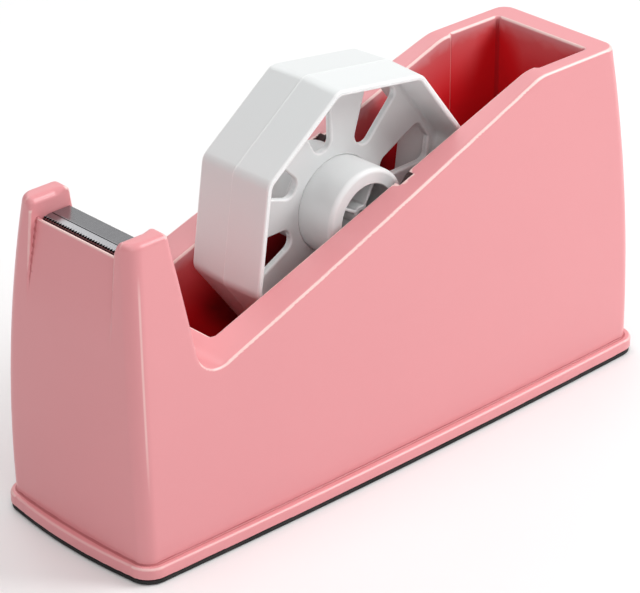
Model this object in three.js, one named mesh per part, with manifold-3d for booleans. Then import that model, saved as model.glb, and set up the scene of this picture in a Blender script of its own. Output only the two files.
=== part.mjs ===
// Weighted desk tape dispenser with an octagonal wheel for 3 inch cores over a hub for 1 inch cores.
// Units are millimetres. The blade end points to -X, the pen compartment to +X, and +Z is up.
// The origin is the middle of the foot, on the surface that the dispenser stands on.
import * as THREE from 'three'
import { mergeVertices } from 'three/addons/utils/BufferGeometryUtils.js'
import Module from 'manifold-3d'

const wasm = await Module()
wasm.setup()

// ---- driving dimensions ---------------------------------------------------------------------
const GAP = 0.3 // kept between neighbouring pieces

const FOOT = { front: 87.25, rear: 87.8, half: 27.8, bowFront: 1.55, bowRear: 1, bowSide: 1.35, radius: 6 }
const FOOT_TOP = 4.5
const FOOT_EDGE = 0.9 // rounding along the foot's top edge
const PAD_THICKNESS = 1.1
const SHELL_BOTTOM = PAD_THICKNESS + GAP

const WALL = 2.4
const WALL_LOW = 5 // height where the low wall size is given
const WALL_TOP = 88 // height of the flat rear top
const LOW = { front: 85.6, rear: 85.6, half: 26 }
const TOP = { front: 82.7, rear: 82.3, half: 20.3 }
const BULGE = { front: 1.6, rear: 0.9, half: 1.6 } // how far the walls swell at mid height
const WALL_RADIUS = 3.6

const EAR_TOP = 86
const EAR_REAR = -71
const EAR_GAP_HALF = 15.1
const TOWER_LEAN = 0.148 // run of the tower's rear face for each millimetre down
const V_RADIUS = 7
const V_HOLLOW_END = -61.5 // the hollow is flat under the curve as far as here
const SLOPE = 0.35
const SLOPE_END = 53.2

const SEAT = 80.2 // top of the blade's seat
const LIP = { front: -81.4, rear: -80.7, top: 80.9 }
const GROOVE = { rear: -79.2, floor: 78.6 }
const RECESS_FOOT = { x: -85.3, z: 62.3 }

const WELL = { front: -53.5, step: 56.6, rear: 74.9, half: 14.6, wide: 15.6, floor: 9 }

const AXIS_Z = 63.4
const AXLE = { radius: 0.8, half: 16.2 }
const SLOT = { half: AXLE.radius + 0.25, depth: 2.1, angle: THREE.MathUtils.degToRad(45) }

const HUB = { radius: 12.8, bore: 9.5, half: 12.4, edge: 0.9, boss: 3.2, webHalf: 0.8, sides: 32 }
const HUB_RIBS = { pairs: 2, thickness: 1.2, half: 10 }
const HUB_SHOULDER = { radius: 14, start: 2.5, end: 3.7 }
const WHEEL = { half: 12.1, outer: 37.8, ridge: 0.6, inner: 36.3, draft: 0.7, corner: 2.2 }
const WHEEL_TURN = THREE.MathUtils.degToRad(14.65)
const WEB = { half: 1, collarRadius: 14.8, collarFar: 2.1 }
const OPENING = { inner: 16, outer: 31.2, crown: 2.2, innerHalf: 2.5, outerHalf: 6, radius: 1.8 }

const BLADE = { rear: -71.7, bend: -77.1, tip: -79.5, thickness: 0.6, drop: 0.35, teeth: 18, toothDepth: 0.9 }

const PLATE_THICKNESS = 3
const POSTS = [[-78.5, -18], [-78.5, 18], [80.2, -16], [80.2, 16]]
const POST = { radius: 3.2, top: 26, webHalf: 0.9, webReach: 8 }
const SCREW = { shank: 1.2, head: 2.7, headHeight: 1.1, length: 14 }
const CROSS = { depth: 0.6, half: 1.6, width: 0.7 } // recess in the screw's head
const BALLAST_FRONT = { start: -74.5, end: -56.4, half: 20.5, top: 40 }
const BALLAST_SIDE = { start: -53.5, end: 52, inner: 17.4, outer: 22.4, top: 42 }

const PINK = new THREE.MeshStandardMaterial({ color: 0xe9a0a6, roughness: 0.28, metalness: 0 })
const WHITE = new THREE.MeshStandardMaterial({ color: 0xdedede, roughness: 0.38, metalness: 0 })
const BLACK = new THREE.MeshStandardMaterial({ color: 0x151414, roughness: 0.85, metalness: 0 })
const GREY = new THREE.MeshStandardMaterial({ color: 0x6d6a68, roughness: 0.7, metalness: 0 })
const IRON = new THREE.MeshStandardMaterial({ color: 0x57555a, roughness: 0.6, metalness: 0.8 })
const STEEL = new THREE.MeshStandardMaterial({ color: 0xc9ccd0, roughness: 0.22, metalness: 1 })

// ---- solids from three.js geometry ----------------------------------------------------------
function solidOf(geometry) {
  const bare = geometry.clone()
  bare.deleteAttribute('normal')
  bare.deleteAttribute('uv')
  const merged = mergeVertices(bare, 1e-4)
  const vertProperties = new Float32Array(merged.attributes.position.array)
  const triVerts = new Uint32Array(merged.index.array)
  return new wasm.Manifold(new wasm.Mesh({ numProp: 3, vertProperties, triVerts }))
}

function geometryOf(solid) {
  const mesh = solid.getMesh()
  const geometry = new THREE.BufferGeometry()
  geometry.setAttribute('position', new THREE.BufferAttribute(new Float32Array(mesh.vertProperties), 3))
  geometry.setIndex(new THREE.BufferAttribute(new Uint32Array(mesh.triVerts), 1))
  geometry.computeVertexNormals()
  return geometry
}

function block(x0, x1, y0, y1, z0, z1) {
  const geometry = new THREE.BoxGeometry(x1 - x0, y1 - y0, z1 - z0)
  geometry.translate((x0 + x1) / 2, (y0 + y1) / 2, (z0 + z1) / 2)
  return solidOf(geometry)
}

// A shape drawn in X and Y, raised from z0 to z1.
function raised(shape, z0, z1, curveSegments = 4) {
  const geometry = new THREE.ExtrudeGeometry(shape, { depth: z1 - z0, bevelEnabled: false, curveSegments })
  geometry.translate(0, 0, z0)
  return solidOf(geometry)
}

// A shape drawn in X and Z, carried along Y from y0 to y1.
function carried(shape, y0, y1, curveSegments = 4) {
  const geometry = new THREE.ExtrudeGeometry(shape, { depth: y1 - y0, bevelEnabled: false, curveSegments })
  geometry.rotateX(Math.PI / 2)
  geometry.translate(0, y1, 0)
  return solidOf(geometry)
}

function post(x, y, radius, z0, z1, sides = 20) {
  const geometry = new THREE.CylinderGeometry(radius, radius, z1 - z0, sides)
  geometry.rotateX(Math.PI / 2)
  geometry.translate(x, y, (z0 + z1) / 2)
  return solidOf(geometry)
}

// Joins rings of equally many points, the first and the last closed by a fan.
function loft(rings) {
  const count = rings[0].length
  const positions = rings.flat().flatMap((p) => [p.x, p.y, p.z])
  const index = []
  for (let r = 0; r < rings.length - 1; r++) {
    for (let i = 0; i < count; i++) {
      const a = r * count + i
      const b = r * count + ((i + 1) % count)
      index.push(a, b, b + count, a, b + count, a + count)
    }
  }
  const last = (rings.length - 1) * count
  for (let i = 1; i < count - 1; i++) {
    index.push(0, i + 1, i)
    index.push(last, last + i, last + i + 1)
  }
  const geometry = new THREE.BufferGeometry()
  geometry.setAttribute('position', new THREE.Float32BufferAttribute(positions, 3))
  geometry.setIndex(index)
  return solidOf(geometry)
}

// ---- outlines -------------------------------------------------------------------------------
// A rounded rectangle whose sides swell outwards, anticlockwise from the front near corner.
function roundedOutline({ front, rear, half, bowFront, bowRear, bowSide, radius }, z) {
  const corners = [
    { x: -front, y: -half, start: 180 },
    { x: rear, y: -half, start: 270 },
    { x: rear, y: half, start: 0 },
    { x: -front, y: half, start: 90 },
  ]
  const arcSteps = 6
  const sideSteps = 6
  const points = []
  corners.forEach((corner, k) => {
    const cx = corner.x - Math.sign(corner.x) * radius
    const cy = corner.y - Math.sign(corner.y) * radius
    for (let i = 0; i <= arcSteps; i++) {
      const angle = THREE.MathUtils.degToRad(corner.start + (90 * i) / arcSteps)
      points.push(new THREE.Vector3(cx + radius * Math.cos(angle), cy + radius * Math.sin(angle), z))
    }
    const next = corners[(k + 1) % 4]
    const from = points[points.length - 1]
    const alongX = next.y === corner.y
    const to = alongX
      ? new THREE.Vector3(next.x - Math.sign(next.x) * radius, next.y, z)
      : new THREE.Vector3(next.x, next.y - Math.sign(next.y) * radius, z)
    for (let i = 1; i < sideSteps; i++) {
      const t = i / sideSteps
      const swell = 4 * t * (1 - t)
      const point = from.clone().lerp(to, t)
      if (alongX) point.y += Math.sign(corner.y) * bowSide * swell
      else point.x += (corner.x < 0 ? -bowFront : bowRear) * swell
      points.push(point)
    }
  })
  return points
}

function wallSize(z, inset) {
  const t = (z - WALL_LOW) / (WALL_TOP - WALL_LOW)
  const swell = 4 * t * (1 - t)
  const fade = Math.max(0, 1 - t)
  return {
    front: THREE.MathUtils.lerp(LOW.front, TOP.front, t) + BULGE.front * swell - inset,
    rear: THREE.MathUtils.lerp(LOW.rear, TOP.rear, t) + BULGE.rear * swell - inset,
    half: THREE.MathUtils.lerp(LOW.half, TOP.half, t) + BULGE.half * swell - inset,
    bowFront: fade,
    bowRear: fade,
    bowSide: 0.9 * fade,
    radius: WALL_RADIUS - inset / 2,
  }
}

function wallLoft(inset, bottom) {
  const rings = []
  const levels = 9
  for (let i = 0; i <= levels; i++) {
    const z = bottom + ((WALL_TOP + 2 - bottom) * i) / levels
    rings.push(roundedOutline(wallSize(z, inset), z))
  }
  return loft(rings)
}

// The foot's outline, raised from z0 to z1, with its top edge rounded off by edge.
function footLoft(inset, z0, z1, edge) {
  const steps = [
    [0, z0],
    [0, z1 - edge],
  ]
  if (edge > 0) steps.push([0.25 * edge, z1 - 0.4 * edge], [0.9 * edge, z1])
  const rings = steps.map(([more, z]) => {
    const size = { ...FOOT }
    for (const side of ['front', 'rear', 'half', 'radius']) size[side] -= inset + more
    return roundedOutline(size, z)
  })
  return loft(rings)
}

const landAt = (x) => WALL_TOP - SLOPE * (SLOPE_END - x)

// Side view under the top: ears, tower's rear face, the curve of the V, the slope and the flat top.
function sideProfile() {
  const earRadius = 2.5
  const faceTop = new THREE.Vector2(EAR_REAR, EAR_TOP - 1.6)
  const vBottom = landAt(-65.6)
  const faceFoot = new THREE.Vector2(faceTop.x + TOWER_LEAN * (faceTop.y - vBottom), vBottom)
  const tangent = V_RADIUS * 1.21
  const faceDirection = faceTop.clone().sub(faceFoot).normalize()
  const slopeDirection = new THREE.Vector2(1, SLOPE).normalize()
  const curveStart = faceFoot.clone().addScaledVector(faceDirection, tangent)
  const curveEnd = faceFoot.clone().addScaledVector(slopeDirection, tangent)
  const shape = new THREE.Shape()
  shape.moveTo(-100, -5)
  shape.lineTo(-100, EAR_TOP - earRadius)
  shape.lineTo(-83.3, EAR_TOP - earRadius)
  shape.absarc(-83.3 + earRadius, EAR_TOP - earRadius, earRadius, Math.PI, Math.PI / 2, true)
  shape.lineTo(EAR_REAR - 1.6, EAR_TOP)
  shape.quadraticCurveTo(EAR_REAR - 0.1, EAR_TOP, faceTop.x, faceTop.y)
  shape.lineTo(curveStart.x, curveStart.y)
  shape.quadraticCurveTo(faceFoot.x, faceFoot.y, curveEnd.x, curveEnd.y)
  shape.lineTo(SLOPE_END - 1.5, landAt(SLOPE_END - 1.5))
  shape.quadraticCurveTo(SLOPE_END, WALL_TOP, SLOPE_END + 1.5, WALL_TOP)
  shape.lineTo(100, WALL_TOP)
  shape.lineTo(100, -5)
  shape.closePath()
  return shape
}

// Side view of the hollow, one wall thickness below the outside.
function hollowProfile() {
  const under = WALL * Math.hypot(1, SLOPE)
  const shape = new THREE.Shape()
  shape.moveTo(-100, -5)
  shape.lineTo(-100, SEAT - WALL - 1.6)
  shape.lineTo(EAR_REAR - WALL + TOWER_LEAN * 8, SEAT - WALL - 1.6)
  shape.lineTo(-66.7 - WALL, 54.5)
  shape.lineTo(-65.6 - WALL, landAt(V_HOLLOW_END) - under)
  shape.lineTo(V_HOLLOW_END, landAt(V_HOLLOW_END) - under)
  shape.lineTo(SLOPE_END, WALL_TOP - under)
  shape.lineTo(100, WALL_TOP - under)
  shape.lineTo(100, -5)
  shape.closePath()
  return shape
}

function wellPlan(grow) {
  const { front, step, rear, half, wide } = WELL
  const shape = new THREE.Shape()
  const ease = 1.2
  shape.moveTo(front - grow, -half - grow)
  shape.lineTo(step - grow - ease, -half - grow)
  shape.quadraticCurveTo(step - grow, -half - grow, step - grow, -half - grow - (wide - half) / 2)
  shape.lineTo(step - grow, -wide - grow)
  shape.lineTo(rear + grow, -wide - grow)
  shape.lineTo(rear + grow, wide + grow)
  shape.lineTo(step - grow, wide + grow)
  shape.lineTo(step - grow, half + grow + (wide - half) / 2)
  shape.quadraticCurveTo(step - grow, half + grow, step - grow - ease, half + grow)
  shape.lineTo(front - grow, half + grow)
  shape.closePath()
  return shape
}

// ---- body shell -----------------------------------------------------------------------------
function slotCut(side) {
  const shape = new THREE.Shape()
  const along = new THREE.Vector2(Math.cos(SLOT.angle), Math.sin(SLOT.angle))
  const reach = 30
  const start = SLOT.angle + Math.PI / 2
  shape.absarc(0, AXIS_Z, SLOT.half, start, start + Math.PI, false)
  shape.lineTo(along.x * reach + along.y * SLOT.half, AXIS_Z + along.y * reach - along.x * SLOT.half)
  shape.lineTo(along.x * reach - along.y * SLOT.half, AXIS_Z + along.y * reach + along.x * SLOT.half)
  shape.closePath()
  const inner = WELL.half - 1
  const outer = WELL.half + SLOT.depth
  return side < 0 ? carried(shape, -outer, -inner, 8) : carried(shape, inner, outer, 8)
}

function bladeGap() {
  const shape = new THREE.Shape()
  shape.moveTo(-60, 100)
  shape.lineTo(-100, 100)
  shape.lineTo(-100, RECESS_FOOT.z)
  shape.lineTo(RECESS_FOOT.x, RECESS_FOOT.z)
  shape.lineTo(LIP.front, LIP.top)
  shape.lineTo(LIP.rear, LIP.top)
  shape.lineTo(LIP.rear, GROOVE.floor)
  shape.lineTo(GROOVE.rear, GROOVE.floor)
  shape.lineTo(GROOVE.rear, SEAT)
  shape.lineTo(-60, SEAT)
  shape.closePath()
  return carried(shape, -EAR_GAP_HALF, EAR_GAP_HALF)
}

function hollow() {
  let space = wallLoft(WALL, -2).intersect(carried(hollowProfile(), -40, 40))
  space = space.subtract(raised(wellPlan(WALL), WELL.floor - WALL, 100))
  for (const side of [-1, 1]) {
    const inner = Math.min(side * WELL.half, side * (WELL.half + 4.6))
    space = space.subtract(block(-6, 18, inner, inner + 4.6, 54, 100))
  }
  for (const [x, y] of POSTS) {
    const foot = SHELL_BOTTOM + PLATE_THICKNESS + 2 * GAP
    const x0 = x < 0 ? x - POST.webReach : x
    const web = block(x0, x0 + POST.webReach, y - POST.webHalf, y + POST.webHalf, foot, POST.top)
    space = space.subtract(post(x, y, POST.radius, foot, POST.top)).subtract(web)
  }
  return space
}

function bodyShell() {
  let shell = wallLoft(0, SHELL_BOTTOM).intersect(carried(sideProfile(), -40, 40, 6))
  shell = shell.add(footLoft(0, SHELL_BOTTOM, FOOT_TOP, FOOT_EDGE))
  shell = shell.subtract(raised(wellPlan(0), WELL.floor, 100))
  shell = shell.subtract(bladeGap())
  shell = shell.subtract(hollow())
  shell = shell.subtract(slotCut(-1)).subtract(slotCut(1))
  for (const [x, y] of POSTS) {
    shell = shell.subtract(post(x, y, SCREW.shank + GAP, 0, SCREW.length + 3, 12))
  }
  return shell
}

// ---- under the shell ------------------------------------------------------------------------
function basePlate() {
  const bottom = SHELL_BOTTOM + GAP / 2
  const rings = [bottom, bottom + PLATE_THICKNESS].map((z) => roundedOutline(wallSize(z, WALL + GAP), z))
  let plate = loft(rings)
  for (const [x, y] of POSTS) {
    plate = plate.subtract(post(x, y, SCREW.shank + GAP, 0, 10, 12))
    plate = plate.subtract(post(x, y, SCREW.head + GAP, 0, bottom + SCREW.headHeight + GAP))
  }
  return plate
}

function baseScrew(x, y) {
  const bottom = SHELL_BOTTOM + GAP / 2 + 0.1
  const head = post(x, y, SCREW.head, bottom, bottom + SCREW.headHeight, 24)
  const shank = post(x, y, SCREW.shank, bottom, bottom + SCREW.length, 12)
  const { half, depth } = CROSS
  const side = CROSS.width / 2
  const long = block(x - half, x + half, y - side, y + side, bottom - 1, bottom + depth)
  const across = block(x - side, x + side, y - half, y + half, bottom - 1, bottom + depth)
  return head.add(shank).subtract(long).subtract(across)
}

const ballastBottom = SHELL_BOTTOM + GAP / 2 + PLATE_THICKNESS + GAP

function ballastFront() {
  const { start, end, half, top } = BALLAST_FRONT
  return block(start, end, -half, half, ballastBottom, top)
}

function ballastSide(side) {
  const { start, end, inner, outer, top } = BALLAST_SIDE
  const y0 = side < 0 ? -outer : inner
  return block(start, end, y0, y0 + outer - inner, ballastBottom, top)
}

// ---- blade ----------------------------------------------------------------------------------
function bladeStrip() {
  const bottom = SEAT + GAP
  const top = bottom + BLADE.thickness
  const section = new THREE.Shape()
  section.moveTo(BLADE.rear, bottom)
  section.lineTo(BLADE.rear, top)
  section.lineTo(BLADE.bend, top)
  section.lineTo(BLADE.tip, top - BLADE.drop)
  section.lineTo(BLADE.tip, bottom - BLADE.drop)
  section.lineTo(BLADE.bend, bottom)
  section.closePath()
  const half = EAR_GAP_HALF - GAP
  let strip = carried(section, -half, half)
  const pitch = (2 * half) / BLADE.teeth
  const notches = new THREE.Shape()
  notches.moveTo(BLADE.tip - 1, -half - 1)
  notches.lineTo(BLADE.tip, -half - 1)
  notches.lineTo(BLADE.tip, -half)
  for (let i = 0; i < BLADE.teeth; i++) {
    notches.lineTo(BLADE.tip + BLADE.toothDepth, -half + (i + 0.5) * pitch)
    notches.lineTo(BLADE.tip, -half + (i + 1) * pitch)
  }
  notches.lineTo(BLADE.tip, half + 1)
  notches.lineTo(BLADE.tip - 1, half + 1)
  notches.closePath()
  strip = strip.subtract(raised(notches, bottom - 3, top + 3))
  return strip
}

// ---- reel: wheel, hub and axle --------------------------------------------------------------
// An octagon with rounded corners, drawn round the axis in X and Y at height z.
function octagonRing(cornerRadius, rounding, z) {
  const points = []
  const steps = 4
  const inset = rounding / Math.cos(Math.PI / 8)
  for (let k = 0; k < 8; k++) {
    const angle = WHEEL_TURN + (k * Math.PI) / 4
    const cx = (cornerRadius - inset) * Math.cos(angle)
    const cy = (cornerRadius - inset) * Math.sin(angle)
    for (let i = 0; i <= steps; i++) {
      const turn = angle + (Math.PI / 4) * (i / steps - 0.5)
      points.push(new THREE.Vector3(cx + rounding * Math.cos(turn), cy + rounding * Math.sin(turn), z))
    }
  }
  return points
}

function openingShape(k) {
  const angle = WHEEL_TURN + (k * Math.PI) / 4
  const corners = [
    [OPENING.inner, -OPENING.innerHalf],
    [OPENING.outer, -OPENING.outerHalf],
    [OPENING.outer + OPENING.crown, 0],
    [OPENING.outer, OPENING.outerHalf],
    [OPENING.inner, OPENING.innerHalf],
  ]
  const centre = new THREE.Vector2()
  const placed = corners.map(([r, s]) => new THREE.Vector2(r, s).rotateAround(centre, angle))
  const shape = new THREE.Shape()
  placed.forEach((corner, i) => {
    const before = placed[(i + placed.length - 1) % placed.length]
    const after = placed[(i + 1) % placed.length]
    const arrive = corner.clone().add(before.clone().sub(corner).setLength(OPENING.radius))
    const leave = corner.clone().add(after.clone().sub(corner).setLength(OPENING.radius))
    if (i === 0) shape.moveTo(arrive.x, arrive.y)
    else shape.lineTo(arrive.x, arrive.y)
    shape.quadraticCurveTo(corner.x, corner.y, leave.x, leave.y)
  })
  shape.closePath()
  return shape
}

function coreWheel() {
  const { half, outer, ridge, inner, draft, corner } = WHEEL
  const rim = loft([
    octagonRing(outer, corner, -half),
    octagonRing(outer + ridge, corner, 0),
    octagonRing(outer, corner, half),
  ])
  const floor = inner - draft
  const farPocket = loft([octagonRing(inner, corner, -half - 1), octagonRing(floor, corner, -WEB.half)])
  const nearPocket = loft([octagonRing(floor, corner, WEB.half), octagonRing(inner, corner, half + 1)])
  let wheel = rim.subtract(farPocket).subtract(nearPocket)
  for (let k = 0; k < 8; k++) wheel = wheel.subtract(raised(openingShape(k), -6, 6, 3))
  wheel = wheel.add(post(0, 0, WEB.collarRadius, -WEB.collarFar, 0, 48))
  return wheel.subtract(post(0, 0, HUB.radius + GAP, -half - 1, half + 1, 48))
}

// A solid turned round Y, from [radius, y] points.
function turned(profile, sides) {
  const points = profile.map(([r, y]) => new THREE.Vector2(r, y))
  return solidOf(new THREE.LatheGeometry(points, sides))
}

function coreHub() {
  const { radius, bore, half, edge, boss, webHalf, sides } = HUB
  const { start, end } = HUB_SHOULDER
  let hub = turned(
    [
      [bore, -half],
      [radius - edge, -half],
      [radius, -half + edge],
      [radius, start],
      [HUB_SHOULDER.radius, start],
      [HUB_SHOULDER.radius, end],
      [radius, end],
      [radius, half - edge],
      [radius - edge, half],
      [bore, half],
      [bore, -half],
    ],
    sides,
  )
  const overlap = 0.4
  const web = new THREE.CylinderGeometry(bore + overlap, bore + overlap, 2 * webHalf, sides)
  hub = hub.add(solidOf(web))
  hub = hub.add(solidOf(new THREE.CylinderGeometry(boss, boss, 2 * HUB_RIBS.half, 16)))
  for (let k = 0; k < HUB_RIBS.pairs; k++) {
    const rib = new THREE.BoxGeometry(2 * bore + overlap, 2 * HUB_RIBS.half, HUB_RIBS.thickness)
    rib.rotateY(-WHEEL_TURN - Math.PI / 4 - (k * Math.PI) / HUB_RIBS.pairs)
    hub = hub.add(solidOf(rib))
  }
  const hole = new THREE.CylinderGeometry(AXLE.radius + GAP, AXLE.radius + GAP, 4 * half, 12)
  return hub.subtract(solidOf(hole))
}

function axleRod() {
  const { radius, half } = AXLE
  const edge = 0.3
  const tip = radius - edge
  const profile = [
    [0, -half],
    [tip, -half],
    [radius, -half + edge],
    [radius, half - edge],
    [tip, half],
    [0, half],
  ]
  return turned(profile, 20)
}

// ---- assembly -------------------------------------------------------------------------------
const group = new THREE.Group()

function piece(name, solid, material, parent = group) {
  const mesh = new THREE.Mesh(geometryOf(solid), material.clone())
  mesh.name = name
  parent.add(mesh)
  return mesh
}

piece('body_shell', bodyShell(), PINK)
piece('base_plate', basePlate(), GREY)
piece('rubber_pad', footLoft(GAP, 0, PAD_THICKNESS, 0), BLACK)
piece('ballast_front', ballastFront(), IRON)
piece('ballast_near', ballastSide(-1), IRON)
piece('ballast_far', ballastSide(1), IRON)
POSTS.forEach(([x, y], i) => piece(`base_screw_${i + 1}`, baseScrew(x, y), STEEL))
piece('blade', bladeStrip(), STEEL)

const reel = new THREE.Group()
reel.position.z = AXIS_Z
group.add(reel)
piece('core_wheel', coreWheel(), WHITE, reel).rotation.x = Math.PI / 2
piece('core_hub', coreHub(), WHITE, reel)
piece('axle_rod', axleRod(), STEEL, reel)

export default group
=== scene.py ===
# Looks of the weighted desk tape dispenser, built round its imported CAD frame.
# Shapes are worked out in millimetres and made in metres. The blade end points to -X and +Z is up.
import math

import bmesh
import bpy
import numpy as np
from mathutils import Matrix, Vector


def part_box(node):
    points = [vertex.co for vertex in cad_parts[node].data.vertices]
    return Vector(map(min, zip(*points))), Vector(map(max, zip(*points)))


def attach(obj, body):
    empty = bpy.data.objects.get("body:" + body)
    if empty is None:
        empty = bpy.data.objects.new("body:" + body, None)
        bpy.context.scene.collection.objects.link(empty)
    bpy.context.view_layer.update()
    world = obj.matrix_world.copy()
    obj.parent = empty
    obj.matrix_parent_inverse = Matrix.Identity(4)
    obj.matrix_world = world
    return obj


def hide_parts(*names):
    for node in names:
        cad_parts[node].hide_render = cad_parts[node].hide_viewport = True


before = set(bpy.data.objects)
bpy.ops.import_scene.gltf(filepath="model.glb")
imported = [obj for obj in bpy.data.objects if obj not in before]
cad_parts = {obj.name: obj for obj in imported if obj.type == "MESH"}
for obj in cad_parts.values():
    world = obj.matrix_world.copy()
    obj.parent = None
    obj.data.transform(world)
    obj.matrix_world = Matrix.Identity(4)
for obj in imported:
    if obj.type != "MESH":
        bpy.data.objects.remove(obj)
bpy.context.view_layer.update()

MM = 0.001

# ---- driving dimensions, millimetres -----------------------------------------------------------
FOOT = {"front": 87.25, "rear": 87.8, "half": 27.8, "radius": 6.0}
FOOT_BOW = {"front": 1.55, "rear": 1.0, "side": 1.35}
FOOT_BOW_SPAN = {"x": 81.5, "y": 21.8}
FOOT_TOP = 4.5
PAD_THICKNESS = 1.1
SHELL_BOTTOM = 1.4

WALL = 2.4
WALL_LOW = 5.0
WALL_TOP = 88.0
LOW = {"front": 85.6, "rear": 85.6, "half": 26.0}
TOP = {"front": 82.7, "rear": 82.3, "half": 20.3}
BULGE = {"front": 1.6, "rear": 0.9, "half": 1.6}
WALL_BOW = {"side": 0.9, "most": 1.05}
WALL_BOW_SPAN = {"x": 82, "y": 22}
WALL_RADIUS = 4.0

EAR_TOP = 86.0
EARS_FROM = -66
FACE_TOP = {"x": -71.0, "z": 84.4}
EAR_GAP_HALF = 15.1
TOWER_LEAN = 0.148
V_RADIUS = 8.2
SLOPE = 0.35
SLOPE_END = 53.2
PANEL_TOP_EDGE = {"x": -72, "x_fade": 3, "z": 83, "z_fade": 2}

SEAT = 80.2
LIP = {"front": -81.4, "rear": -80.7, "top": 80.9}
GROOVE = {"rear": -79.2, "floor": 78.6}
RECESS_FOOT = {"x": -85.3, "z": 62.3}
BLADE_GAP_END = -60.0
WELL = {"front": -53.5, "step": 56.6, "rear": 74.9, "half": 14.6, "wide": 15.6, "floor": 9.0, "overlap": 4}
SHELL_ROUNDING = {
    "ear_top": 1.3, "rear_top": 0.8, "top": 0.8, "top_of_ears": 1.5,
    "flange": 0.9, "flange_fillet": 0.5, "underside": 0.25,
    "well": 1.2, "pens": 1.0, "well_to_pens": 0.7, "floor": 1.5, "mouth": 0.8,
    "lip": 0.25, "gap": 0.3, "gap_edge": 0.8, "gap_top_edge": 2.4, "slot": 0.25,
}

AXIS_Z = 63.4
SLOT = {"half": 1.05, "depth": 2.1, "angle": math.radians(45)}
WALL_UNDER_GAP = 1.8
WALL_BEHIND_SLOT = 1.6
POSTS = [(-78.5, -18.0), (-78.5, 18.0), (80.2, -16.0), (80.2, 16.0)]
POST = {"radius": 3.2, "foot": 5.0, "top": 26.0, "hole": 1.5, "hole_top": 17.0}

HUB = {"radius": 12.8, "bore": 8.8, "half": 12.4, "boss": 2.4, "hole": 1.1, "web_half": 0.8, "fillet": 0.4}
HUB_ROUNDING = {"end": 1.3, "bore": 0.3, "rib": 0.15, "hole": 0.2}
HUB_RIB = {"half": 0.4, "reach": 10.0, "into_tube": 0.5}
HUB_SHOULDER = {"radius": 14.0, "start": 2.5, "end": 3.7, "into_tube": 1, "fillet": 0.3}
WHEEL = {"half": 12.1, "outer": 37.8, "ridge": 0.6, "inner": 36.3, "draft": 0.7, "corner": 4.0}
PARTING_LINE = {"height": 0.08, "half": 0.22}
WHEEL_TURN = math.radians(14.65)
WHEEL_ROUNDING = {"rim": 0.45, "opening": 0.35, "bore": 0.15}
WHEEL_BORE_GAP = 0.05
WEB = {"half": 1.0, "into_rim": 1, "fillet": 1.0, "collar": 14.8, "collar_far": 2.1, "collar_fillet": 0.4}
OPENING = {"inner": 16.0, "outer": 31.2, "crown": 2.2, "inner_half": 2.5, "outer_half": 6.0}
OPENING_ROUNDING = {"outer": 1.8, "inner": 2.0}

# ---- where painted shade and painted highlights go on the shell, millimetres --------------------
# DEEP: painted shade, darker the deeper the well and pen compartment walls lie, and more so towards the rear
# corners.
DEEP = {"start": 0.8, "fade": 2, "full": 20, "corner": 9, "corner_full": 8, "corner_amount": 0.4}
# Painted shadow of the wheel on the well walls, and painted shade in the axle slots and in the groove under
# the teeth.
WHEEL_SHADE = {"radius": 44, "fade": 6, "start": 6, "full": 14, "amount": 0.65}
SLOT_MARK = {"within": 0.45, "below": 0.1, "amount": 0.9}
GROOVE_MARK = {"x": -79.9, "half": 1, "low": 78}
# Painted highlight line down the front corners: CORNER_LINE gives where across the corner, CORNER_LIGHT how
# high up.
CORNER_LINE = {"start": 1.7, "rise": 2.2, "middle": 2.25, "fall": 2.3, "end": 2.8}
CORNER_LIGHT = {"low": 20, "low_fade": 20, "high": 80, "high_fade": 8}
OFF_WALL = 99
# EDGE_MARK: how strongly painted edge highlights and painted crevice shade are laid on.
EDGE_MARK = {"most": 1.5, "softer": 0.8, "above_foot": 1, "none_below_foot": 1.6}
RECESS_END = {"x": -80, "low": 50, "high": 74}

# ---- camera, at the viewing angle of the reference ---------------------------------------------
CAMERA = {
    "azimuth": math.radians(-43.169),
    "elevation": math.radians(27.344),
    "roll": math.radians(-0.222),
    "distance": 755.472,
    "target": (-4.947, -0.202, 38.646),
    "lens": 168.18,
}


# ---- fields: negative inside, in millimetres ---------------------------------------------------
def round_max(a, b, radius):
    """What two fields share, with the edge between them rounded."""
    u = a + radius
    v = b + radius
    corner = np.hypot(np.maximum(u, 0), np.maximum(v, 0))
    return np.minimum(np.maximum(u, v), 0) + corner - radius


def round_min(a, b, radius):
    """Two fields joined, with a fillet between them."""
    return -round_max(-a, -b, radius)


def eased_max(a, b, reach):
    """What two fields share, with a shallow break between them eased where they differ by less than reach."""
    near = np.maximum(reach - np.abs(a - b), 0)
    return np.maximum(a, b) + near**2 / (4 * reach)


def between(start, end, t):
    return start + (end - start) * t


def wall_faces(x, y, z):
    """The outer wall's side and end faces: they lean in, swell at mid height and bow along the edge."""
    t = (z - WALL_LOW) / (WALL_TOP - WALL_LOW)
    swell = 4 * t * (1 - t)
    bow = np.clip(1 - t, 0, WALL_BOW["most"])
    along = np.clip(1 - (x / WALL_BOW_SPAN["x"]) ** 2, 0, 1)
    across = np.clip(1 - (y / WALL_BOW_SPAN["y"]) ** 2, 0, 1)
    side = np.abs(y) - between(LOW["half"], TOP["half"], t) - BULGE["half"] * swell
    side = side - WALL_BOW["side"] * bow * along
    front = -x - between(LOW["front"], TOP["front"], t) - BULGE["front"] * swell - bow * across
    rear = x - between(LOW["rear"], TOP["rear"], t) - BULGE["rear"] * swell - bow * across
    return side, np.maximum(front, rear)


def wall(x, y, z):
    side, end = wall_faces(x, y, z)
    return round_max(side, end, WALL_RADIUS)


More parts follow.
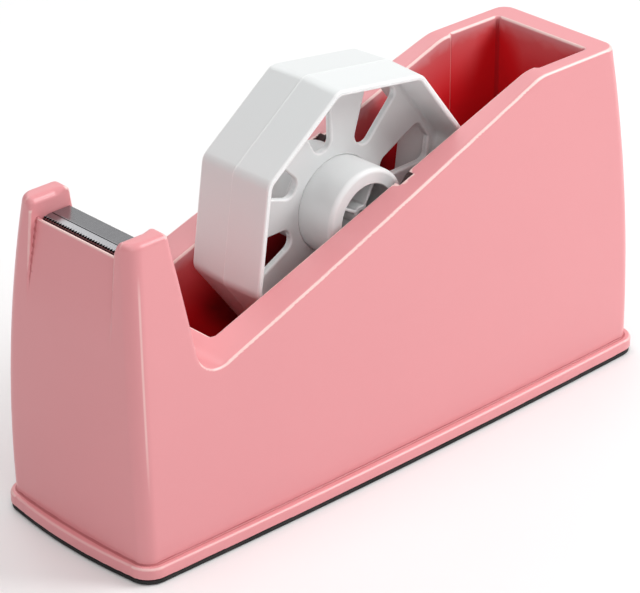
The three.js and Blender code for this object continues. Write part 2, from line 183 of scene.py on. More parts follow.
def foot_outline(x, y):
    along = np.clip(1 - (x / FOOT_BOW_SPAN["x"]) ** 2, 0, 1)
    across = np.clip(1 - (y / FOOT_BOW_SPAN["y"]) ** 2, 0, 1)
    side = np.abs(y) - FOOT["half"] - FOOT_BOW["side"] * along
    front = -x - FOOT["front"] - FOOT_BOW["front"] * across
    rear = x - FOOT["rear"] - FOOT_BOW["rear"] * across
    return round_max(side, np.maximum(front, rear), FOOT["radius"])


def profile(x, z):
    """Side view under the top: the front tower, the V, the slope and the flat rear top."""
    face = (x - FACE_TOP["x"] - TOWER_LEAN * (FACE_TOP["z"] - z)) / math.hypot(1, TOWER_LEAN)
    tower = round_max(face, z - EAR_TOP, SHELL_ROUNDING["ear_top"])
    slope = (z - WALL_TOP + SLOPE * (SLOPE_END - x)) / math.hypot(1, SLOPE)
    rear = eased_max(slope, z - WALL_TOP, SHELL_ROUNDING["rear_top"])
    return round_min(tower, rear, V_RADIUS)


def room(x, y, z):
    """The tape well and the wider pen compartment behind it."""
    well_ends = np.maximum(WELL["front"] - x, x - WELL["step"] - WELL["overlap"])
    well = round_max(np.abs(y) - WELL["half"], well_ends, SHELL_ROUNDING["well"])
    pens_ends = np.maximum(WELL["step"] - x, x - WELL["rear"])
    pens = round_max(np.abs(y) - WELL["wide"], pens_ends, SHELL_ROUNDING["pens"])
    plan = round_min(well, pens, SHELL_ROUNDING["well_to_pens"])
    return round_max(plan, WELL["floor"] - z, SHELL_ROUNDING["floor"])


def blade_gap(x, y, z):
    """The space between the ears, over the recessed front panel, the lip, the groove and the seat."""
    run = (LIP["front"] - RECESS_FOOT["x"]) / (LIP["top"] - RECESS_FOOT["z"])
    panel = (x - RECESS_FOOT["x"] - run * (z - RECESS_FOOT["z"])) / math.hypot(1, run)
    over_lip = round_min(panel, LIP["top"] - z, SHELL_ROUNDING["lip"])
    groove = np.maximum(np.maximum(LIP["rear"] - x, x - GROOVE["rear"]), GROOVE["floor"] - z)
    over_seat = np.maximum(LIP["rear"] - x, SEAT - z)
    section = np.minimum(np.minimum(over_lip, groove), over_seat)
    section = np.maximum(section, x - BLADE_GAP_END)
    return round_max(np.abs(y) - EAR_GAP_HALF, section, SHELL_ROUNDING["gap"])


def axle_slots(x, y, z):
    along_x = math.cos(SLOT["angle"])
    along_z = math.sin(SLOT["angle"])
    run = x * along_x + (z - AXIS_Z) * along_z
    aside = (z - AXIS_Z) * along_x - x * along_z
    section = np.where(run < 0, np.hypot(x, z - AXIS_Z), np.abs(aside)) - SLOT["half"]
    return np.maximum(section, np.abs(y) - WELL["half"] - SLOT["depth"])


def screw_posts(x, y, z):
    posts = np.inf
    holes = np.inf
    for px, py in POSTS:
        reach = np.hypot(x - px, y - py)
        posts = np.minimum(posts, reach - POST["radius"])
        holes = np.minimum(holes, reach - POST["hole"])
    posts = np.maximum(posts, np.maximum(POST["foot"] - z, z - POST["top"]))
    return posts, np.maximum(holes, z - POST["hole_top"])


def body_shell(x, y, z):
    outer = wall(x, y, z)
    side_view = profile(x, z)
    ear = np.clip((EARS_FROM - x) / 6, 0, 1)
    top = between(SHELL_ROUNDING["top"], SHELL_ROUNDING["top_of_ears"], ear)
    block = round_max(outer, side_view, top)
    flange = round_max(foot_outline(x, y), z - FOOT_TOP, SHELL_ROUNDING["flange"])
    body = round_min(block, flange, SHELL_ROUNDING["flange_fillet"])
    body = round_max(body, SHELL_BOTTOM - z, SHELL_ROUNDING["underside"])
    space = room(x, y, z)
    gap = blade_gap(x, y, z)
    slots = axle_slots(x, y, z)
    posts, holes = screw_posts(x, y, z)
    body = round_max(body, -space, SHELL_ROUNDING["mouth"])
    high = np.clip((z - PANEL_TOP_EDGE["z"]) / PANEL_TOP_EDGE["z_fade"], 0, 1)
    forward = np.clip((PANEL_TOP_EDGE["x"] - x) / PANEL_TOP_EDGE["x_fade"], 0, 1)
    edge = between(SHELL_ROUNDING["gap_edge"], SHELL_ROUNDING["gap_top_edge"], high * forward)
    body = eased_max(body, -gap, edge)
    body = round_max(body, -slots, SHELL_ROUNDING["slot"])
    hollow = np.maximum(outer + WALL, side_view + WALL)
    hollow = np.maximum(hollow, WALL - space)
    hollow = np.maximum(hollow, WALL_UNDER_GAP - gap)
    hollow = np.maximum(hollow, WALL_BEHIND_SLOT - slots)
    hollow = np.maximum(hollow, -posts)
    body = np.maximum(body, -hollow)
    return np.maximum(body, -holes)


def octagon(u, v, apothem, corner):
    """An eight-sided outline with rounded corners, seen along the reel's axis."""
    turn = np.arctan2(v, u) - WHEEL_TURN
    turn = np.mod(turn, math.pi / 4) - math.pi / 8
    reach = np.hypot(u, v)
    out = reach * np.cos(turn) - apothem + corner
    beside = np.abs(reach * np.sin(turn)) - (apothem - corner) * math.tan(math.pi / 8)
    return np.where(out < 0, out, np.hypot(out, np.maximum(beside, 0))) - corner


def web_openings(u, v):
    """Eight wedge openings with round corners, one towards each corner of the octagon."""
    turn = np.arctan2(v, u) - WHEEL_TURN + math.pi / 8
    turn = np.mod(turn, math.pi / 4) - math.pi / 8
    reach = np.hypot(u, v)
    out = reach * np.cos(turn)
    beside = np.abs(reach * np.sin(turn))
    length = OPENING["outer"] - OPENING["inner"]
    widening = OPENING["outer_half"] - OPENING["inner_half"]
    side = length * (beside - OPENING["inner_half"]) - widening * (out - OPENING["inner"])
    side = side / math.hypot(length, widening)
    crown = OPENING["crown"]
    far = OPENING["outer_half"] * (out - OPENING["outer"] - crown) + crown * beside
    far = far / math.hypot(OPENING["outer_half"], crown)
    wedge = round_max(side, far, OPENING_ROUNDING["outer"])
    return round_max(wedge, OPENING["inner"] - out, OPENING_ROUNDING["inner"])


def core_wheel(x, y, z):
    """Rim with a ridge round its middle, web with openings, and a collar on the far side."""
    v = z - AXIS_Z
    reach = np.hypot(x, v)
    flat = math.cos(math.pi / 8)
    crown = WHEEL["ridge"] * (1 - np.abs(y) / WHEEL["half"])
    draft = WHEEL["draft"] * (1 - np.clip(np.abs(y) / WHEEL["half"], 0, 1))
    line = PARTING_LINE["height"] * np.exp(-((y / PARTING_LINE["half"]) ** 2))
    outer = octagon(x, v, (WHEEL["outer"] + crown) * flat + line, WHEEL["corner"])
    inner = octagon(x, v, (WHEEL["inner"] - draft) * flat, WHEEL["corner"] - 1)
    ends = np.abs(y) - WHEEL["half"]
    rim = round_max(outer, ends, WHEEL_ROUNDING["rim"])
    rim = round_max(rim, -inner, WHEEL_ROUNDING["rim"])
    web = np.maximum(np.abs(y) - WEB["half"], inner - WEB["into_rim"])
    web = round_max(web, -web_openings(x, v), WHEEL_ROUNDING["opening"])
    collar = np.maximum(reach - WEB["collar"], np.maximum(-y, y - WEB["collar_far"]))
    web = round_min(web, collar, WEB["collar_fillet"])
    bore = HUB["radius"] + WHEEL_BORE_GAP - reach
    return round_max(round_min(rim, web, WEB["fillet"]), bore, WHEEL_ROUNDING["bore"])


def core_hub(x, y, z):
    """Tube with rounded ends and a shoulder, and inside it a web, ribs and a bored boss."""
    v = z - AXIS_Z
    reach = np.hypot(x, v)
    far = np.abs(y)
    tube = round_max(reach - HUB["radius"], far - HUB["half"], HUB_ROUNDING["end"])
    tube = round_max(tube, HUB["bore"] - reach, HUB_ROUNDING["bore"])
    middle = (HUB_SHOULDER["start"] + HUB_SHOULDER["end"]) / 2
    width = (HUB_SHOULDER["end"] - HUB_SHOULDER["start"]) / 2
    shoulder = np.maximum(reach - HUB_SHOULDER["radius"], np.abs(y - middle) - width)
    shoulder = np.maximum(shoulder, HUB["bore"] + HUB_SHOULDER["into_tube"] - reach)
    hub = round_min(tube, shoulder, HUB_SHOULDER["fillet"])
    ribs = np.inf
    for k in range(2):
        turn = WHEEL_TURN + math.pi / 4 + k * math.pi / 2
        aside = np.abs(v * math.cos(turn) - x * math.sin(turn))
        ribs = np.minimum(ribs, aside - HUB_RIB["half"])
    inside = round_min(ribs, reach - HUB["boss"], HUB["fillet"])
    inside = round_max(inside, far - HUB_RIB["reach"], HUB_ROUNDING["rib"])
    inside = round_min(inside, far - HUB["web_half"], HUB["fillet"])
    inside = np.maximum(inside, reach - HUB["bore"] - HUB_RIB["into_tube"])
    hub = round_min(hub, inside, HUB["fillet"])
    return round_max(hub, HUB["hole"] - reach, HUB_ROUNDING["hole"])


# ---- meshes from fields ------------------------------------------------------------------------
def graded(*spans):
    """Grid places from spans of (start, end, step)."""
    places = [np.linspace(a, b, max(2, round((b - a) / step) + 1))[:-1] for a, b, step in spans]
    return np.concatenate(places + [[spans[-1][1]]])


def surface_net(field, axes):
    """Points and quads where the field changes sign on a grid, one point for each cell crossed."""
    xs, ys, zs = axes
    value = field(xs[:, None, None], ys[None, :, None], zs[None, None, :])
    cells = np.array(value.shape) - 1
    rings = []
    crossings = []
    for a in range(3):
        low = np.take(value, range(cells[a]), axis=a)
        high = np.take(value, range(1, cells[a] + 1), axis=a)
        at = np.argwhere((low < 0) != (high < 0))
        start = low[tuple(at.T)]
        end = high[tuple(at.T)]
        point = np.stack([axes[d][at[:, d]] for d in range(3)], axis=1)
        point[:, a] += start / (start - end) * (axes[a][at[:, a] + 1] - axes[a][at[:, a]])
        back_b = np.eye(3, dtype=int)[(a + 1) % 3]
        back_c = np.eye(3, dtype=int)[(a + 2) % 3]
        around = [at, at - back_b, at - back_b - back_c, at - back_c]
        ring = np.stack([np.ravel_multi_index(cell.T, cells) for cell in around], axis=1)
        ring[start >= 0] = ring[start >= 0][:, ::-1]
        rings.append(ring)
        crossings.append(np.repeat(point, 4, axis=0))
    rings = np.concatenate(rings)
    crossings = np.concatenate(crossings)
    used, index = np.unique(rings, return_inverse=True)
    index = index.reshape(-1)
    share = np.bincount(index)
    points = np.stack([np.bincount(index, crossings[:, d]) / share for d in range(3)], axis=1)
    return points, index.reshape(-1, 4)


def slope_of(field, points, step=0.01):
    """The field's gradient at each point."""
    slope = np.empty_like(points)
    for d in range(3):
        move = np.zeros(3)
        move[d] = step
        ahead = field(*(points + move).T)
        behind = field(*(points - move).T)
        slope[:, d] = (ahead - behind) / (2 * step)
    return slope


def settled(field, points, rounds=3, furthest=0.4):
    """The points moved onto the field's zero surface, and the surface's normals there."""
    for _ in range(rounds):
        slope = slope_of(field, points)
        square = np.maximum((slope**2).sum(axis=1), 0.05)
        step = (-field(*points.T) / square)[:, None] * slope
        points = points + np.clip(step, -furthest, furthest)
    normals = slope_of(field, points)
    normals /= np.maximum(np.linalg.norm(normals, axis=1), 1e-6)[:, None]
    return points, normals


def bend_of(field, points, step=0.5):
    """How far the surface bends, per millimetre: positive on convex edges, negative in hollows."""
    total = -6 * field(*points.T)
    for d in range(3):
        move = np.zeros(3)
        move[d] = step
        total += field(*(points + move).T) + field(*(points - move).T)
    return total / step**2


def painted_edge_strength(points):
    """How strongly the painted edge highlight and painted crevice shade are laid on: less on ears and foot,
    not underneath or at the recess's near end.
    """
    x, y, z = points.T
    softer = (x < EARS_FROM) | (z < FOOT_TOP + EDGE_MARK["above_foot"])
    underneath = z < FOOT_TOP - EDGE_MARK["none_below_foot"]
    recess_end = (x < RECESS_END["x"]) & (y < 0) & (z > RECESS_END["low"]) & (z < RECESS_END["high"])
    return np.where(underneath | recess_end, 0, np.where(softer, EDGE_MARK["softer"], 1))


def mark(piece, name, values):
    """Stores a value for each of the piece's points, for its material to read."""
    attribute = piece.data.attributes.new(name, "FLOAT", "POINT")
    attribute.data.foreach_set("value", values.astype(np.float32))


def linked(name, mesh):
    piece = bpy.data.objects.new(name, mesh)
    bpy.context.scene.collection.objects.link(piece)
    return piece


def mesh_of(name, points, faces):
    mesh = bpy.data.meshes.new(name)
    mesh.from_pydata(np.asarray(points) * MM, [], faces)
    mesh.validate()
    return mesh


def field_piece(name, field, axes, keep):
    """A mesh of the field's surface, thinned to a share of its faces, with exact normals, and its points."""
    points, quads = surface_net(field, axes)
    points, _ = settled(field, points)
    piece = linked(name, mesh_of(name, points, quads.tolist()))
    thin = piece.modifiers.new("thin", "DECIMATE")
    thin.ratio = keep
    bake_modifiers(piece)
    mesh = piece.data
    points = np.empty(len(mesh.vertices) * 3)
    mesh.vertices.foreach_get("co", points)
    points, normals = settled(field, points.reshape(-1, 3) / MM, rounds=2, furthest=0.15)
    mesh.vertices.foreach_set("co", (points * MM).ravel())
    mesh.shade_smooth()
    mesh.normals_split_custom_set_from_vertices(normals)
    # The bend, stored as the edge attribute, places painted highlights on convex edges and painted shade in
    # crevices.
    bend = np.clip(bend_of(field, points), -EDGE_MARK["most"], EDGE_MARK["most"])
    mark(piece, "edge", bend * painted_edge_strength(points))
    return piece, points


def bake_modifiers(piece):
    """Puts the result of the modifiers in the piece's own mesh."""
    graph = bpy.context.evaluated_depsgraph_get()
    shaped = bpy.data.meshes.new_from_object(piece.evaluated_get(graph))
    piece.modifiers.clear()
    piece.data = shaped


def finish_piece(piece, body, slot, material, *nodes):
    """Gives a piece its material and its body, and hides the CAD nodes that it stands for."""
    piece.data.materials.clear()
    piece.data.materials.append(material)
    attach(piece, body)
    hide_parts(*nodes)


# ---- plain meshes ------------------------------------------------------------------------------
def bevelled(piece, width, segments, angle=30):
    """The piece with its edges rounded, its width in millimetres."""
    bevel = piece.modifiers.new("bevel", "BEVEL")
    bevel.width = width * MM
    bevel.segments = segments
    bevel.limit_method = "ANGLE"
    bevel.angle_limit = math.radians(angle)
    bevel.harden_normals = True
    piece.data.shade_smooth()
    bake_modifiers(piece)
    return piece


def prism(name, outline, z0, z1):
    """A plan outline raised from z0 to z1."""
    count = len(outline)
    points = [(x, y, z) for z in (z0, z1) for x, y in outline]
    faces = [list(range(count))[::-1], list(range(count, 2 * count))]
    faces += [[i, (i + 1) % count, (i + 1) % count + count, i + count] for i in range(count)]
    return linked(name, mesh_of(name, points, faces))


def turned(name, profile_points, sides):
    """A solid turned round Y through the reel's axis, from (radius, y) points."""
    mesh = bpy.data.meshes.new(name)
    shape = bmesh.new()
    last = None
    first_ring = None
    for radius, y in profile_points:
        ring = []
        for i in range(sides):
            angle = 2 * math.pi * i / sides
            place = Vector((radius * math.cos(angle), y, AXIS_Z + radius * math.sin(angle)))
            ring.append(shape.verts.new(place * MM))
        if last:
            for i in range(sides):
                j = (i + 1) % sides
                shape.faces.new((last[i], last[j], ring[j], ring[i]))
        first_ring = first_ring or ring
        last = ring
    shape.faces.new(first_ring)
    shape.faces.new(last[::-1])
    bmesh.ops.recalc_face_normals(shape, faces=shape.faces)
    shape.to_mesh(mesh)
    shape.free()
    return linked(name, mesh)


# ---- materials ---------------------------------------------------------------------------------
def node_material(name, colour, roughness, metallic=0.0):
    """A Principled material and its shader."""
    material = bpy.data.materials.new(name)
    material.use_nodes = True
    nodes = material.node_tree.nodes
    shader = nodes["Principled BSDF"]
    shader.inputs["Base Color"].default_value = (*colour, 1)
    shader.inputs["Roughness"].default_value = roughness
    shader.inputs["Metallic"].default_value = metallic
    return material, shader


def noise_at(material, scale, detail, stretch=(1, 1, 1)):
    """Noise over the object's own space, with scale in waves per metre."""
    nodes = material.node_tree.nodes
    links = material.node_tree.links
    place = nodes.new("ShaderNodeTexCoord")
    mapping = nodes.new("ShaderNodeMapping")
    mapping.inputs["Scale"].default_value = stretch
    noise = nodes.new("ShaderNodeTexNoise")
    noise.inputs["Scale"].default_value = scale
    noise.inputs["Detail"].default_value = detail
    links.new(place.outputs["Object"], mapping.inputs["Vector"])
    links.new(mapping.outputs["Vector"], noise.inputs["Vector"])
    return noise.outputs["Fac"]


def spread(material, value, low, high):
    """Maps a value from 0.3 to 0.7 onto low to high."""
    node = material.node_tree.nodes.new("ShaderNodeMapRange")
    node.inputs["From Min"].default_value = 0.3
    node.inputs["From Max"].default_value = 0.7
    node.inputs["To Min"].default_value = low
    node.inputs["To Max"].default_value = high
    material.node_tree.links.new(value, node.inputs["Value"])
    return node.outputs["Result"]


def tinted(material, value, low, high):
    """A colour between low and high, as a value goes from 0.3 to 0.7."""
    ramp = material.node_tree.nodes.new("ShaderNodeValToRGB")
    ramp.color_ramp.elements[0].position = 0.3
    ramp.color_ramp.elements[0].color = (*low, 1)
    ramp.color_ramp.elements[1].position = 0.7
    ramp.color_ramp.elements[1].color = (*high, 1)
    material.node_tree.links.new(value, ramp.inputs["Fac"])
    return ramp.outputs["Color"]


def bumped(material, shader, value, depth):
    """Adds a bump of that depth in millimetres."""
    bump = material.node_tree.nodes.new("ShaderNodeBump")
    bump.inputs["Distance"].default_value = depth * MM
    bump.inputs["Strength"].default_value = 1.0
    links = material.node_tree.links
    links.new(value, bump.inputs["Height"])
    links.new(bump.outputs["Normal"], shader.inputs["Normal"])


def marked(material, name, low, high):
    """A stored value, from 0 at low to 1 at high."""
    nodes = material.node_tree.nodes
    stored = nodes.new("ShaderNodeAttribute")
    stored.attribute_name = name
    ramp = nodes.new("ShaderNodeMapRange")
    ramp.interpolation_type = "SMOOTHSTEP"
    ramp.inputs["From Min"].default_value = low
    ramp.inputs["From Max"].default_value = high
    material.node_tree.links.new(stored.outputs["Fac"], ramp.inputs["Value"])
    return ramp.outputs["Result"]


def mixed(material, base, colour, factor, amount=1.0):
    """The base colour, turned towards another by amount where factor is 1."""
    nodes = material.node_tree.nodes
    links = material.node_tree.links
    scaled = nodes.new("ShaderNodeMath")
    scaled.operation = "MULTIPLY"
    scaled.inputs[1].default_value = amount
    links.new(factor, scaled.inputs[0])
    mix = nodes.new("ShaderNodeMix")
    mix.data_type = "RGBA"
    mix.inputs["B"].default_value = (*colour, 1)
    links.new(scaled.outputs[0], mix.inputs["Factor"])
    links.new(base, mix.inputs["A"])
    return mix.outputs["Result"]


def moulded_plastic(name, dark, light, roughness, grain):
    """Moulded plastic: faint flow clouds in the colour, uneven gloss and a fine mould grain."""
    material, shader = node_material(name, light, roughness)
    links = material.node_tree.links
    colour = tinted(material, noise_at(material, 14, 2), dark, light)
    rub = noise_at(material, 50, 2)
    links.new(spread(material, rub, roughness * 0.95, roughness * 1.05), shader.inputs["Roughness"])
    bumped(material, shader, noise_at(material, 700, 1), grain)
    return material, shader, colour


def corner_line(material):
    """A fine painted highlight line down each front corner, where the side starts to turn."""
    line = marked(material, "corner", CORNER_LINE["start"], CORNER_LINE["rise"])
    fall = marked(material, "corner", CORNER_LINE["end"], CORNER_LINE["fall"])
    for factor in (fall, marked(material, "corner_light", 0, 1)):
        product = material.node_tree.nodes.new("ShaderNodeMath")
        product.operation = "MULTIPLY"
        material.node_tree.links.new(line, product.inputs[0])
        material.node_tree.links.new(factor, product.inputs[1])
        line = product.outputs[0]
    return line


def pink_plastic():
    """The glossy shell, with painted shade deeper inside the well, in crevices, slots, the groove and behind
    the wheel, and painted highlights along edges and front corners.
    """
    material, shader, colour = moulded_plastic(
        "pink_shell", (0.78, 0.305, 0.325), (0.80, 0.315, 0.335), 0.31, 0.0015
    )
    light = (1.0, 0.78, 0.73)
    # Painted shade: walls deep inside the well and pen compartment turn a darker, deeper red, and their gloss
    # drops.
    deep = marked(material, "deep", 0, 1)
    colour = mixed(material, colour, (0.7, 0.014, 0.02), deep)
    shine = spread(material, deep, 0.5, 0.1)
    material.node_tree.links.new(shine, shader.inputs["Specular IOR Level"])
    # Painted shade in crevices and hollows.
    colour = mixed(material, colour, (0.32, 0.01, 0.015), marked(material, "edge", -0.3, -1.2), 0.6)
    # Painted highlights along convex edges.
    colour = mixed(material, colour, light, marked(material, "edge", 0.75, 1.25), 0.75)
    # Painted highlight line down the front corners.
    colour = mixed(material, colour, light, corner_line(material), 0.45)
    # Painted shade: dark in the axle slots, in the groove under the teeth and on the well walls behind the
    # wheel.
    colour = mixed(material, colour, (0.02, 0.004, 0.005), marked(material, "dark", 0, 1))
    material.node_tree.links.new(colour, shader.inputs["Base Color"])
    return material


def white_plastic():
    material, shader, colour = moulded_plastic(
        "reel_plastic", (0.78, 0.80, 0.80), (0.81, 0.83, 0.83), 0.34, 0.0015
    )
    # Painted shade in the reel's crevices and hollows.
    colour = mixed(material, colour, (0.4, 0.4, 0.4), marked(material, "edge", -0.4, -1.4), 0.3)
    # Painted highlights along the reel's edges.
    colour = mixed(material, colour, (0.93, 0.93, 0.93), marked(material, "edge", 0.35, 1.2), 0.8)
    material.node_tree.links.new(colour, shader.inputs["Base Color"])
    return material


def plain_plastic():
    material, shader, colour = moulded_plastic(
        "plate_plastic", (0.10, 0.10, 0.10), (0.13, 0.13, 0.125), 0.55, 0.02
    )
    material.node_tree.links.new(colour, shader.inputs["Base Color"])
    return material


def black_rubber():
    material, shader = node_material("pad_rubber", (0.012, 0.012, 0.012), 0.8)
    links = material.node_tree.links
    clouds = noise_at(material, 60, 4)
    tone = tinted(material, clouds, (0.008, 0.008, 0.008), (0.02, 0.02, 0.02))
    links.new(tone, shader.inputs["Base Color"])
    links.new(spread(material, noise_at(material, 300, 3), 0.7, 0.9), shader.inputs["Roughness"])
    bumped(material, shader, noise_at(material, 1500, 3), 0.04)
    return material


def steel(name, colour, roughness, stretch):
    """Drawn or rolled steel, its fine lines along one axis, and its shader."""
    material, shader = node_material(name, colour, roughness, 1.0)
    links = material.node_tree.links
    lines = noise_at(material, 400, 4, stretch)
    links.new(spread(material, lines, roughness * 0.9, roughness * 1.1), shader.inputs["Roughness"])
    bumped(material, shader, lines, 0.003)
    return material, shader


def blade_steel():
    """Rolled steel, with a painted dark reflection line along its crease."""
    material, shader = steel("blade_steel", (0.26, 0.26, 0.27), 0.2, (1, 12, 12))
    lines = noise_at(material, 400, 4, (1, 12, 12))
    colour = tinted(material, lines, (0.24, 0.24, 0.25), (0.28, 0.28, 0.29))
    # Painted dark reflection line along the crease.
    colour = mixed(material, colour, (0.02, 0.02, 0.02), marked(material, "crease", 1, 0.4))
    material.node_tree.links.new(colour, shader.inputs["Base Color"])
    return material


def cast_iron():
    material, shader = node_material("ballast_iron", (0.12, 0.11, 0.11), 0.75, 0.6)
    links = material.node_tree.links
    scale = noise_at(material, 90, 6)
    links.new(tinted(material, scale, (0.07, 0.065, 0.06), (0.16, 0.15, 0.145)), shader.inputs["Base Color"])
    links.new(spread(material, scale, 0.6, 0.9), shader.inputs["Roughness"])
    bumped(material, shader, noise_at(material, 700, 5), 0.12)
    return material


# ---- pieces ------------------------------------------------------------------------------------
def mark_shell(piece, x, y, z):
    """Stores where painted shade goes (deep in the rooms, in the slots, the groove and behind the wheel) and
    where the painted corner highlight goes.
    """
    down = -profile(x, z)
    in_room = room(x, y, z) < 0.5
    from_corner = np.hypot(x - WELL["rear"], np.abs(y) - WELL["wide"])
    # Painted shade, darker the deeper below the top edge and near the pen compartment's rear corners.
    depth = 0.5 * np.clip((down - DEEP["start"]) / DEEP["fade"], 0, 1)
    depth += 0.5 * np.clip(down / DEEP["full"], 0, 1)
    cornered = np.clip(1 - from_corner / DEEP["corner"], 0, 1) * np.clip(down / DEEP["corner_full"], 0, 1)
    depth += DEEP["corner_amount"] * cornered
    mark(piece, "deep", np.where(in_room, depth, 0))

    # Painted shade in the slots and the groove, and painted shadow of the wheel on the walls behind it.
    in_slot = (axle_slots(x, y, z) < SLOT_MARK["within"]) & (down > SLOT_MARK["below"])
    in_groove = (np.abs(x - GROOVE_MARK["x"]) < GROOVE_MARK["half"]) & (np.abs(y) < EAR_GAP_HALF)
    in_groove = in_groove & (z < SEAT) & (z > GROOVE_MARK["low"])
    near_wheel = np.clip((WHEEL_SHADE["radius"] - np.hypot(x, z - AXIS_Z)) / WHEEL_SHADE["fade"], 0, 1)
    shaded = np.clip((down - WHEEL_SHADE["start"]) / WHEEL_SHADE["full"], 0, 1)
    dark = np.where(in_room, near_wheel * shaded * WHEEL_SHADE["amount"], 0)
    dark = np.where(in_groove, 1, dark)
    mark(piece, "dark", np.where(in_slot, SLOT_MARK["amount"], dark))

    # Where the painted highlight line runs down the front corners, faded out low and high.
    side, end = wall_faces(x, y, z)
    on_wall = np.abs(wall(x, y, z)) < 0.2
    off_line = np.where(side - end > CORNER_LINE["middle"], OFF_WALL, -OFF_WALL)
    mark(piece, "corner", np.where(on_wall, side - end, off_line))
    light = np.clip((z - CORNER_LIGHT["low"]) / CORNER_LIGHT["low_fade"], 0, 1)
    light = light * np.clip((CORNER_LIGHT["high"] - z) / CORNER_LIGHT["high_fade"], 0, 1)
    mark(piece, "corner_light", np.where(x < 0, light, 0))


def make_shell(material):
    axes = (
        graded((-91, -78, 0.4), (-78, -58, 0.55), (-58, -50, 0.6), (-50, 4, 1.2), (4, 14, 0.35),
               (14, 50, 1.2), (50, 62, 0.5), (62, 72, 0.9), (72, 91, 0.45)),
        graded((-31, -19, 0.45), (-19, -13, 0.35), (-13, 13, 1.3), (13, 19, 0.35), (19, 31, 0.45)),
        graded((0.4, 6, 0.35), (6, 44, 1.2), (44, 60, 0.6), (60, 68, 0.7), (68, 90, 0.35)),
    )
    piece, points = field_piece("shell", body_shell, axes, keep=0.35)
    mark_shell(piece, *points.T)
    finish_piece(piece, "base", "pink_shell", material, "body_shell")


def make_wheel(material):
    radius = WHEEL["outer"] + 2
    across = graded((-radius, radius, 0.45))
    along = graded((-13.5, -10, 0.3), (-10, -2.5, 0.7), (-2.5, -0.5, 0.25), (-0.5, 0.5, 0.125),
                   (0.5, 3, 0.25), (3, 10, 0.7), (10, 13.5, 0.3))
    axes = (across, along, across + AXIS_Z)
    piece, _ = field_piece("wheel", core_wheel, axes, keep=0.6)
    finish_piece(piece, "reel", "reel_plastic", material, "core_wheel")


def make_hub(material):
    across = graded((-15, 15, 0.3))
    axes = (across, graded((-13.5, -9, 0.25), (-9, -2, 0.6), (-2, 5, 0.3), (5, 9, 0.6), (9, 13.5, 0.25)),
            across + AXIS_Z)
    piece, _ = field_piece("hub", core_hub, axes, keep=0.7)
    finish_piece(piece, "reel", "reel_plastic", material, "core_hub")


def make_blade(material):
    """A strip creased across its length, with a toothed front edge, in the place of the CAD one."""
    low, high = (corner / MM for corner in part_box("blade"))
    crease = -77.1
    crease_half = 0.2
    crease_depth = 0.12
    thickness = 0.6
    drop = 0.3
    tooth = 0.6
    root = low.x + tooth
    teeth = 32
    pitch = (high.y - low.y) / teeth

    def height(x):
        return high.z - drop * max(0, crease - x) / (crease - low.x)

    rows = [(high.x, high.z), (crease + crease_half, high.z), (crease, high.z - crease_depth)]
    rows.append((crease - crease_half, height(crease - crease_half)))
    near = [(x, low.y, z) for x, z in rows]
    far = [(x, high.y, z) for x, z in rows[::-1]]
    edge = [(root if i % 2 else low.x, low.y + i * pitch / 2) for i in range(2 * teeth + 1)]
    top = near + [(x, y, height(x)) for x, y in edge] + far
    under = [(x, y, z - thickness) for x, y, z in top]
    count = len(top)
    faces = [[k, k + 1, count - 2 - k, count - 1 - k] for k in range(len(rows) - 1)]
    faces.append(list(range(len(rows) - 1, count - len(rows) + 1)))
    faces += [[i + count for i in face[::-1]] for face in faces]
    faces += [[i, (i + 1) % count, (i + 1) % count + count, i + count] for i in range(count)]
    piece = linked("cutter_blade", mesh_of("cutter_blade", top + under, faces))
    shape = bmesh.new()
    shape.from_mesh(piece.data)
    bmesh.ops.recalc_face_normals(shape, faces=shape.faces)
    shape.to_mesh(piece.data)
    shape.free()
    bevelled(piece, 0.06, 2, 25)
    across = np.array([vertex.co.x / MM - crease for vertex in piece.data.vertices])
    mark(piece, "crease", np.abs(across) / crease_half)
    finish_piece(piece, "base", "blade_steel", material, "blade")


def rounded_plan(front, rear, half, radius, bows, steps=12):
    """A rounded rectangle with bowed sides, anticlockwise from the front near corner."""
    corners = [(-front, -half, 180), (rear, -half, 270), (rear, half, 0), (-front, half, 90)]
    points = []
    for k, (x, y, start) in enumerate(corners):
        cx = x - math.copysign(radius, x)
        cy = y - math.copysign(radius, y)
        for i in range(steps + 1):
            angle = math.radians(start + 90 * i / steps)
            points.append((cx + radius * math.cos(angle), cy + radius * math.sin(angle)))
        next_x, next_y, _ = corners[(k + 1) % 4]
        from_x, from_y = points[-1]
        to_x = next_x - math.copysign(radius, next_x) if next_y == y else next_x
        to_y = next_y if next_y == y else next_y - math.copysign(radius, next_y)
        for i in range(1, 2 * steps):
            t = i / (2 * steps)
            swell = 4 * t * (1 - t)
            px = between(from_x, to_x, t)
            py = between(from_y, to_y, t)
            if next_y == y:
                py += math.copysign(bows["side"] * swell, y)
            else:
                px += math.copysign((bows["front"] if x < 0 else bows["rear"]) * swell, x)
            points.append((px, py))
    return points


def make_pad(material):
    inset = 0.3
    plan = rounded_plan(
        FOOT["front"] - inset, FOOT["rear"] - inset, FOOT["half"] - inset, FOOT["radius"] - inset, FOOT_BOW
    )
    piece = bevelled(prism("foot_pad", plan, 0, PAD_THICKNESS), 0.2, 2)
    finish_piece(piece, "base", "pad_rubber", material, "rubber_pad")


def make_axle(material):
    low, high = (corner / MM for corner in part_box("axle_rod"))
    radius = (high.x - low.x) / 2
    edge = 0.25
    ends = [(radius - edge, low.y), (radius, low.y + edge), (radius, high.y - edge), (radius - edge, high.y)]
    piece = bevelled(turned("axle", ends, 48), 0.08, 2)
    finish_piece(piece, "axle", "axle_steel", material, "axle_rod")


def dress(node, material):
    """A better material for a CAD node that stays."""
    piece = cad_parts[node]
    piece.data.materials.clear()
    piece.data.materials.append(material)


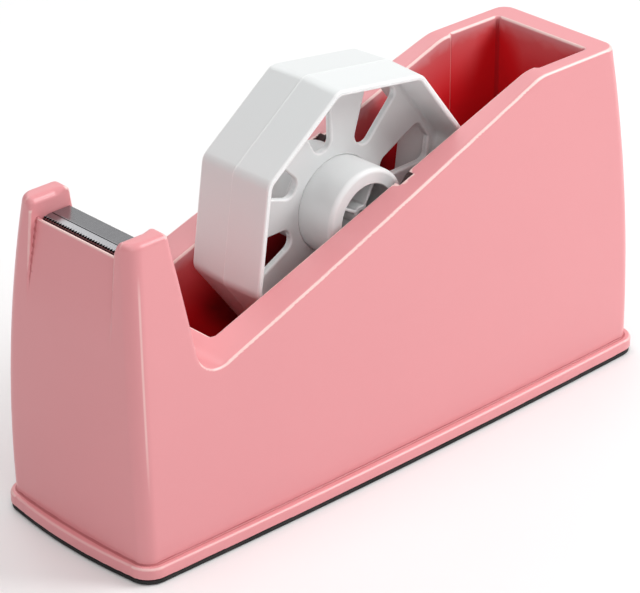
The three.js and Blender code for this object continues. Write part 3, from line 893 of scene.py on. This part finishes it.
# ---- stage -------------------------------------------------------------------------------------
def make_camera():
    azimuth = CAMERA["azimuth"]
    elevation = CAMERA["elevation"]
    back = Vector((
        math.sin(azimuth) * math.cos(elevation),
        -math.cos(azimuth) * math.cos(elevation),
        math.sin(elevation),
    ))
    right = (-back).cross(Vector((0, 0, 1))).normalized()
    up = back.cross(right)
    turn = Matrix.Rotation(CAMERA["roll"], 3, back)
    right = turn @ right
    up = turn @ up
    data = bpy.data.cameras.new("camera")
    data.sensor_width = 36
    data.lens = CAMERA["lens"]
    data.clip_start = 0.05
    camera = bpy.data.objects.new("camera", data)
    place = (Vector(CAMERA["target"]) + back * CAMERA["distance"]) * MM
    rotation = Matrix((right, up, back)).transposed().to_4x4()
    camera.matrix_world = Matrix.Translation(place) @ rotation
    bpy.context.scene.collection.objects.link(camera)
    bpy.context.scene.camera = camera


def softbox(name, place, size, watts):
    """A rectangular lamp aimed at the middle of the object."""
    data = bpy.data.lights.new(name, "AREA")
    data.shape = "RECTANGLE"
    data.size, data.size_y = size
    data.energy = watts
    lamp = bpy.data.objects.new(name, data)
    lamp.location = place
    aim = Vector((0, 0, 0.05)) - Vector(place)
    lamp.rotation_euler = aim.to_track_quat("-Z", "Y").to_euler()
    bpy.context.scene.collection.objects.link(lamp)


def make_world(horizon, overhead):
    """A studio ceiling: grey near the horizon and lighter overhead."""
    world = bpy.data.worlds.new("studio")
    world.use_nodes = True
    nodes = world.node_tree.nodes
    links = world.node_tree.links
    place = nodes.new("ShaderNodeTexCoord")
    split = nodes.new("ShaderNodeSeparateXYZ")
    rise = nodes.new("ShaderNodeMapRange")
    rise.interpolation_type = "SMOOTHSTEP"
    rise.inputs["From Min"].default_value = 0.25
    rise.inputs["From Max"].default_value = 0.6
    rise.inputs["To Min"].default_value = horizon
    rise.inputs["To Max"].default_value = overhead
    links.new(place.outputs["Generated"], split.inputs["Vector"])
    links.new(split.outputs["Z"], rise.inputs["Value"])
    links.new(rise.outputs["Result"], nodes["Background"].inputs["Color"])
    bpy.context.scene.world = world


def make_stage():
    size = 6
    mesh = bpy.data.meshes.new("floor")
    corners = [(-size, -size, 0), (size, -size, 0), (size, size, 0), (-size, size, 0)]
    mesh.from_pydata(corners, [], [(0, 1, 2, 3)])
    floor = linked("floor", mesh)
    floor.location.z = -0.0002
    material, shader = node_material("floor", (0.92, 0.92, 0.92), 0.6)
    links = material.node_tree.links
    tone = tinted(material, noise_at(material, 3, 2), (0.915, 0.915, 0.915), (0.925, 0.925, 0.925))
    links.new(tone, shader.inputs["Base Color"])
    floor.data.materials.append(material)

    make_world(0.2, 0.4)
    bpy.context.scene.view_settings.view_transform = "Standard"
    softbox("key", (0.85, -0.64, 0.9), (0.7, 0.7), 12.3)
    softbox("back", (0.3, 1.3, 1.1), (0.8, 0.8), 3.5)
    softbox("sheen", (0.95, 1.0, 0.75), (1.2, 1.2), 2.5)
    softbox("top", (-0.25, 0.1, 1.55), (1.2, 1.0), 6.5)
    softbox("fill", (-0.75, -1.0, 0.85), (0.8, 0.8), 3.6)


make_camera()
make_stage()
reel_plastic = white_plastic()
make_shell(pink_plastic())
make_wheel(reel_plastic)
make_hub(reel_plastic)
make_blade(blade_steel())
make_pad(black_rubber())
make_axle(steel("axle_steel", (0.6, 0.6, 0.62), 0.32, (1, 12, 12))[0])
dress("base_plate", plain_plastic())
iron = cast_iron()
for node in ("ballast_front", "ballast_near", "ballast_far"):
    dress(node, iron)
zinc = steel("screw_steel", (0.58, 0.58, 0.56), 0.34, (1, 1, 12))[0]
for number in range(1, 5):
    dress(f"base_screw_{number}", zinc)
